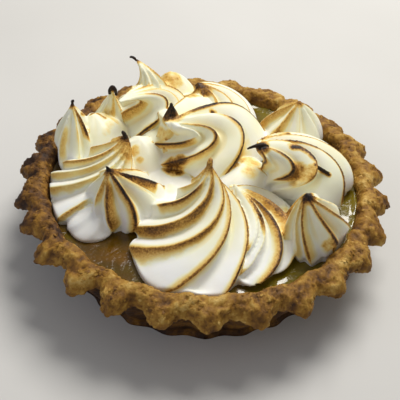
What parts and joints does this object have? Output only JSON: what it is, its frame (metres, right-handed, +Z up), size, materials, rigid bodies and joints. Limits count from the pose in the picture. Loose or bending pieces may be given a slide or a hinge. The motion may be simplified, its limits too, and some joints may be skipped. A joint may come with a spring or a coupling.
{
  "type": "rhubarb meringue tartlet",
  "caption": "Small round tart with a fluted shortcrust shell, glossy rhubarb filling and a torched piped meringue top.",
  "frame": {"origin": "centre of the crust's flat foot, on the surface it rests on", "axes": "+Z up out of the tart, +X to the right and +Y away from the side with the open strip of filling"},
  "size_m": [0.0992, 0.0987, 0.0376],
  "materials": {
    "baked_shortcrust": "matte crumb",
    "rhubarb_filling": "wet gloss",
    "torched_meringue": "satin"
  },
  "bodies": {
    "root": {"crust": "baked_shortcrust", "filling": "rhubarb_filling", "meringue": "torched_meringue"}
  },
  "joints": []
}
